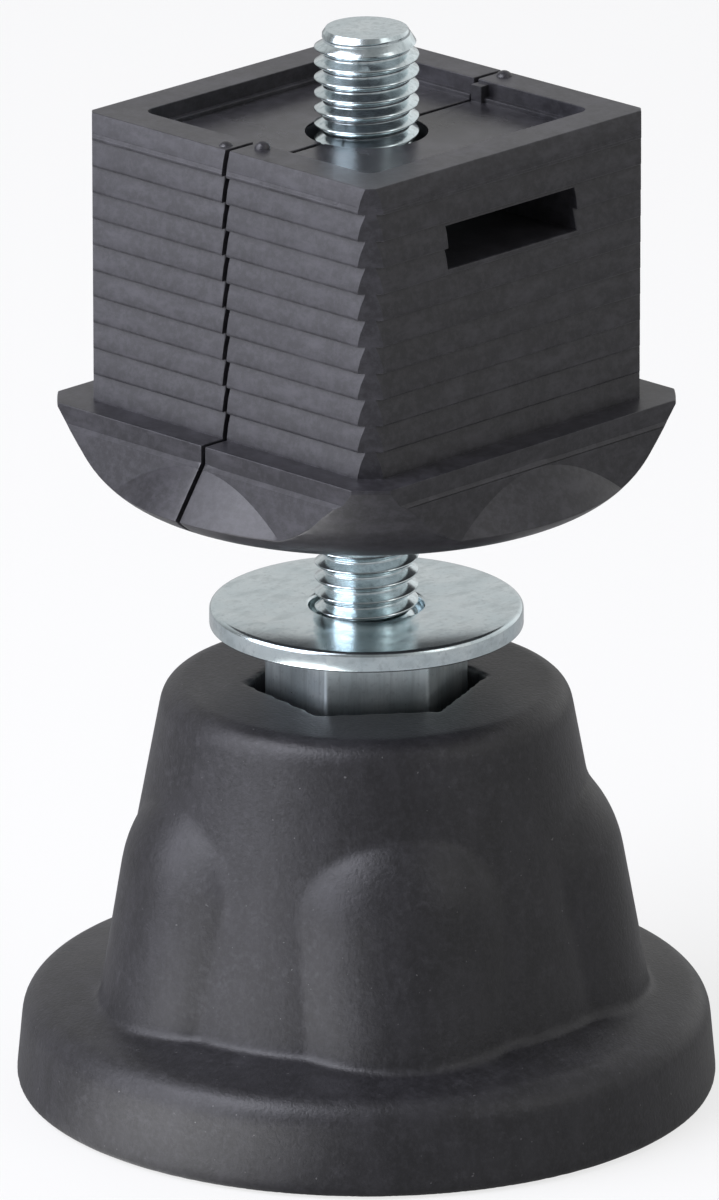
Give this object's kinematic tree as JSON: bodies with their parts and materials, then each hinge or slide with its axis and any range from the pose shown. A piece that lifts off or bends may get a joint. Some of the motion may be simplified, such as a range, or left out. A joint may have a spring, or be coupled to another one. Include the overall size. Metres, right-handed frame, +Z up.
{
  "type": "adjustable foot",
  "caption": "Adjustable foot for square tube: a toothed split insert with a captive nut rides on a screwed spindle that stands in a flared, lobed rubber foot.",
  "frame": {"origin": "middle of the rubber foot's underside, on the spindle's axis", "axes": "+Z up along the spindle, the insert's slotted side faces +X and its slit shows on the -Y and +Y sides"},
  "size_m": [0.0674, 0.0674, 0.105],
  "materials": {
    "rubber": "matt black rubber",
    "zinc_steel": "bright zinc plate with a bluish cast",
    "moulded_plastic": "dark grey moulded plastic"
  },
  "bodies": {
    "foot": {"rubber_foot": "rubber", "spindle": "zinc_steel"},
    "washer": {"flat_washer": "zinc_steel"},
    "insert": {"insert_half_front": "moulded_plastic", "insert_half_rear": "moulded_plastic", "square_nut": "zinc_steel"}
  },
  "joints": [
    {"name": "thread_turn", "type": "hinge", "parent": "foot", "child": "washer", "pos_m": [0, 0, 0.046], "axis": [0, 0, 1], "range_deg": [-2640, 2880]},
    {"name": "insert_travel", "type": "slide", "parent": "washer", "child": "insert", "axis": [0, 0, 1], "range_m": [-0.011, 0.012]}
  ],
  "couplings": [
    {"joint": "insert_travel", "follows": "thread_turn", "m_per_rad": 0.00023873}
  ]
}
